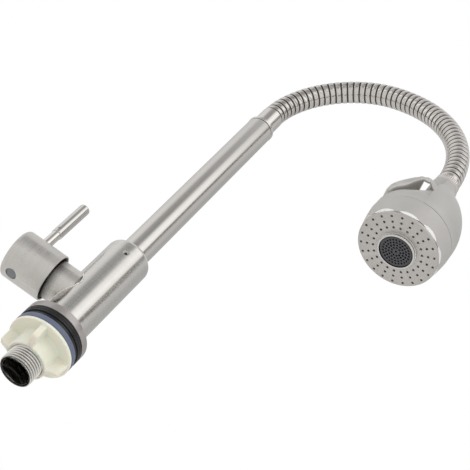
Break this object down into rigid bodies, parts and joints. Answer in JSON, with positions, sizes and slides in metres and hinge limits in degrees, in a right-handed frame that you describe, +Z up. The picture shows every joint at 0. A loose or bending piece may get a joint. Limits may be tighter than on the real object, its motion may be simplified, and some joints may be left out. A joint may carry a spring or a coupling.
{
  "type": "kitchen mixer tap",
  "caption": "Deck-mounted kitchen tap with side lever, swivelling riser, bendable ribbed gooseneck and a bell-shaped two-jet spray head with diverter lever.",
  "frame": {"origin": "Centre of the tap hole in the worktop's top face, on the riser's axis, where the base gasket lies on the worktop.", "axes": "+X along the valve branch towards the handle, on the user's right; +Y away from the person using it; +Z up along the riser."},
  "size_m": [0.2068, 0.1125, 0.363],
  "materials": {
    "brushed_body": "brushed along its length, clear highlights",
    "polished_steel": "turned and polished",
    "black_rubber": "moulded, matt",
    "grey_plastic": "moulded, blue-grey",
    "ivory_plastic": "moulded, ivory, slightly translucent",
    "raw_brass": "machined",
    "white_ceramic": "lapped ceramic",
    "white_acetal": "moulded, natural",
    "spring_steel": "plain steel",
    "zinc_core": "die-cast, unfinished",
    "indicator_plastic": "moulded, grey-blue",
    "satin_shell": "satin nickel look",
    "brushed_plate": "satin, punched",
    "chrome_ring": "polished",
    "dark_insert": "moulded, dark"
  },
  "bodies": {
    "base": {"main_body": "brushed_body", "inlet_shank": "polished_steel", "base_gasket": "black_rubber", "valve_branch": "brushed_body", "headwork_body": "raw_brass", "headwork_gasket": "black_rubber", "seat_seal": "black_rubber", "fixed_disc": "white_ceramic", "spindle_seal": "black_rubber", "spout_screw": "spring_steel", "swivel_bush": "white_acetal"},
    "clamp_stack": {"backing_washer": "black_rubber", "clamp_washer": "grey_plastic"},
    "nut": {"lock_nut": "ivory_plastic"},
    "handle": {"moving_disc": "white_ceramic", "spindle": "raw_brass", "spindle_clip": "spring_steel", "handle_cap": "brushed_body", "handle_hub": "zinc_core", "handle_grub_screw": "spring_steel", "indicator_plug": "indicator_plastic", "lever_rod": "polished_steel", "lever_sleeve": "brushed_body", "lever_grub_screw": "spring_steel"},
    "spout": {"spout_spigot": "raw_brass", "spigot_o_rings": "black_rubber", "riser_tube": "brushed_body", "riser_adapter": "polished_steel", "gooseneck_hose": "polished_steel", "hose_liner": "black_rubber"},
    "spray_head": {"hose_ferrule": "polished_steel", "head_shell": "satin_shell", "head_front_ring": "satin_shell", "chamber_seal": "black_rubber", "head_core": "white_acetal", "aerator_seal": "black_rubber", "spray_plate": "brushed_plate", "aerator_ring": "chrome_ring", "aerator_insert": "dark_insert"},
    "lever": {"diverter_lever": "satin_shell", "diverter_pivot": "spring_steel"},
    "spool": {"diverter_spool": "white_acetal", "spool_o_rings": "black_rubber"}
  },
  "joints": [
    {"name": "clamp_travel", "type": "slide", "parent": "base", "child": "clamp_stack", "axis": [0, 0, -1], "range_m": [0, 0.011]},
    {"name": "nut_turn", "type": "hinge", "parent": "clamp_stack", "child": "nut", "pos_m": [0, 0, -0.0128], "axis": [0, 0, -1], "range_deg": [0, 2184]},
    {"name": "lever_turn", "type": "hinge", "parent": "base", "child": "handle", "pos_m": [0, 0, 0.0381], "axis": [1, 0, 0], "range_deg": [0, 90]},
    {"name": "spout_swivel", "type": "hinge", "parent": "base", "child": "spout", "pos_m": [0, 0, 0.0887], "axis": [0, 0, 1], "continuous": true},
    {"name": "hose_bend", "type": "hinge", "parent": "spout", "child": "spray_head", "pos_m": [-0.0641, 0.0328, 0.2942], "axis": [-0.4555, -0.8902, 0], "range_deg": [-25, 25], "deforming": ["gooseneck_hose", "hose_liner"]},
    {"name": "diverter_turn", "type": "hinge", "parent": "spray_head", "child": "lever", "pos_m": [-0.12199, 0.06481, 0.20993], "axis": [-0.0523, -0.9986, 0], "range_deg": [0, 14]},
    {"name": "spool_travel", "type": "slide", "parent": "spray_head", "child": "spool", "axis": [0, 0, -1], "range_m": [0, 0.00127]}
  ],
  "couplings": [
    {"joint": "diverter_turn", "follows": "spool_travel", "rad_per_m": 192.3},
    {"joint": "nut_turn", "follows": "clamp_travel", "rad_per_m": 3463.7}
  ]
}
